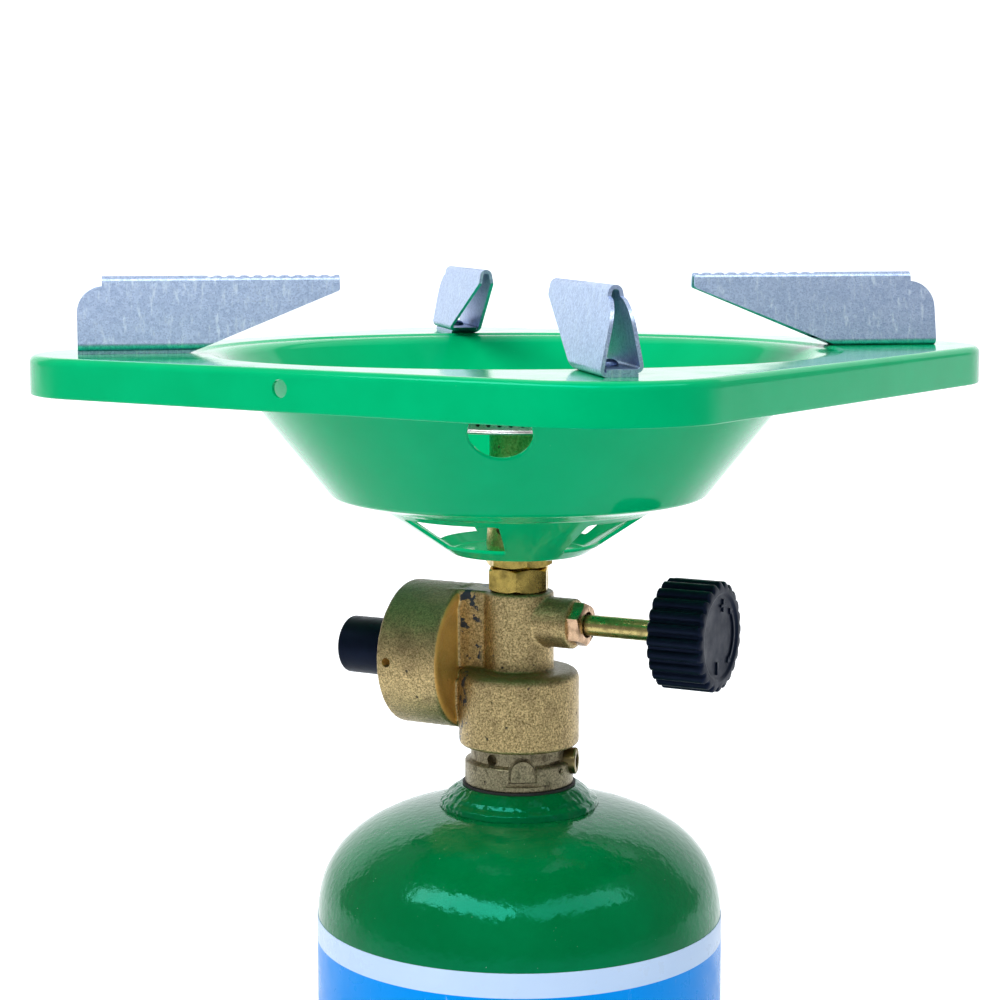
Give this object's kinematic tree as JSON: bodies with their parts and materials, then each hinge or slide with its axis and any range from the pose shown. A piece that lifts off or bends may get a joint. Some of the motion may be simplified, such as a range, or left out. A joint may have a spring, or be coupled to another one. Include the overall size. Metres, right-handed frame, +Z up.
{
  "type": "camping stove",
  "caption": "Bottle-top camping stove on its gas cylinder: square green pan with a round bowl, swivelling folded pan supports, cast brass regulator and a ribbed valve knob.",
  "frame": {"origin": "centre of the gas cylinder's foot, on the surface it stands on", "axes": "+Z up along the cylinder and the burner; +X along the valve spindle towards the knob; -X towards the regulator drum"},
  "size_m": [0.1892, 0.1892, 0.3076],
  "materials": {
    "cylinder_paint": "gloss green paint with a light orange peel",
    "label": "printed sleeve, white band over sky blue, no lettering",
    "pan_enamel": "gloss emerald enamel",
    "cast_brass": "sand-cast, grainy",
    "machined_brass": "machined, worn",
    "galvanised_steel": "galvanised sheet with spangle",
    "stainless_steel": "pressed and brushed",
    "black_plastic": "satin moulded",
    "white_plastic": "satin",
    "black_rubber": "matt"
  },
  "bodies": {
    "cylinder": {"foot_ring": "cylinder_paint", "gas_cylinder": "cylinder_paint", "weld_ring": "cylinder_paint", "cylinder_label": "label", "neck_seal": "black_rubber", "cylinder_neck": "cast_brass", "relief_valve_body": "machined_brass", "valve_core_body": "machined_brass", "valve_core_spring": "stainless_steel"},
    "relief_valve": {"relief_valve_poppet": "black_rubber"},
    "valve_core": {"valve_core_pin": "machined_brass", "valve_core_seal": "black_rubber"},
    "inlet_seal": {"inlet_seal": "black_rubber"},
    "stove_head": {"inlet_probe": "machined_brass", "regulator_body": "cast_brass", "diaphragm": "black_rubber", "diaphragm_ring": "machined_brass", "regulator_spring": "stainless_steel", "regulator_cover": "machined_brass", "adjusting_screw": "machined_brass", "regulator_cap": "black_plastic", "gland_packing": "white_plastic", "gland_nut": "machined_brass", "jet_holder": "machined_brass", "jet": "machined_brass", "lock_nut": "machined_brass", "burner_tube": "cast_brass", "burner_head": "stainless_steel", "burner_cap": "stainless_steel", "pan_flange": "pan_enamel", "pan_bowl": "pan_enamel", "pan_port_panel": "pan_enamel", "pan_cup": "pan_enamel", "support_rivets": "galvanised_steel"},
    "diaphragm_plate": {"diaphragm_plate": "galvanised_steel", "regulator_pin": "stainless_steel"},
    "spindle_ring": {"spindle_o_ring": "black_rubber"},
    "spindle": {"valve_spindle": "machined_brass", "control_knob": "black_plastic", "knob_insert": "machined_brass"},
    "support_1": {"pan_support_1": "galvanised_steel"},
    "support_2": {"pan_support_2": "galvanised_steel"},
    "support_3": {"pan_support_3": "galvanised_steel"},
    "support_4": {"pan_support_4": "galvanised_steel"}
  },
  "joints": [
    {"name": "head_lift", "type": "slide", "parent": "cylinder", "child": "inlet_seal", "axis": [0, 0, 1], "range_m": [0, 0.007]},
    {"name": "head_turn", "type": "hinge", "parent": "inlet_seal", "child": "stove_head", "pos_m": [0, 0, 0.2], "axis": [0, 0, 1], "range_deg": [0, 1980]},
    {"name": "valve_travel", "type": "slide", "parent": "stove_head", "child": "spindle_ring", "axis": [1, 0, 0], "range_m": [0, 0.0016]},
    {"name": "knob_turn", "type": "hinge", "parent": "spindle_ring", "child": "spindle", "pos_m": [0.03, 0, 0.2249], "axis": [1, 0, 0], "range_deg": [0, 540]},
    {"name": "diaphragm_travel", "type": "slide", "parent": "stove_head", "child": "diaphragm_plate", "axis": [-1, 0, 0], "range_m": [0, 0.0006], "stiffness_N_per_m": 2000, "deforming": ["diaphragm", "regulator_spring"]},
    {"name": "valve_core_travel", "type": "slide", "parent": "cylinder", "child": "valve_core", "axis": [0, 0, 1], "range_m": [-0.0015, 0], "stiffness_N_per_m": 300, "deforming": ["valve_core_spring"]},
    {"name": "relief_valve_travel", "type": "slide", "parent": "cylinder", "child": "relief_valve", "axis": [0.9636, 0.2672, 0], "range_m": [0, 0.001], "stiffness_N_per_m": 2000},
    {"name": "support_1_swivel", "type": "hinge", "parent": "stove_head", "child": "support_1", "pos_m": [0.07024, 0.05627, 0.2899], "axis": [0, 0, 1], "range_deg": [-90, 90]},
    {"name": "support_2_swivel", "type": "hinge", "parent": "stove_head", "child": "support_2", "pos_m": [-0.05627, 0.07024, 0.2899], "axis": [0, 0, 1], "range_deg": [-90, 90]},
    {"name": "support_3_swivel", "type": "hinge", "parent": "stove_head", "child": "support_3", "pos_m": [-0.07024, -0.05627, 0.2899], "axis": [0, 0, 1], "range_deg": [-90, 90]},
    {"name": "support_4_swivel", "type": "hinge", "parent": "stove_head", "child": "support_4", "pos_m": [0.05627, -0.07024, 0.2899], "axis": [0, 0, 1], "range_deg": [-90, 90]}
  ],
  "couplings": [
    {"joint": "head_lift", "follows": "head_turn", "m_per_rad": 0.00020213},
    {"joint": "valve_travel", "follows": "knob_turn", "m_per_rad": 0.00015915}
  ]
}
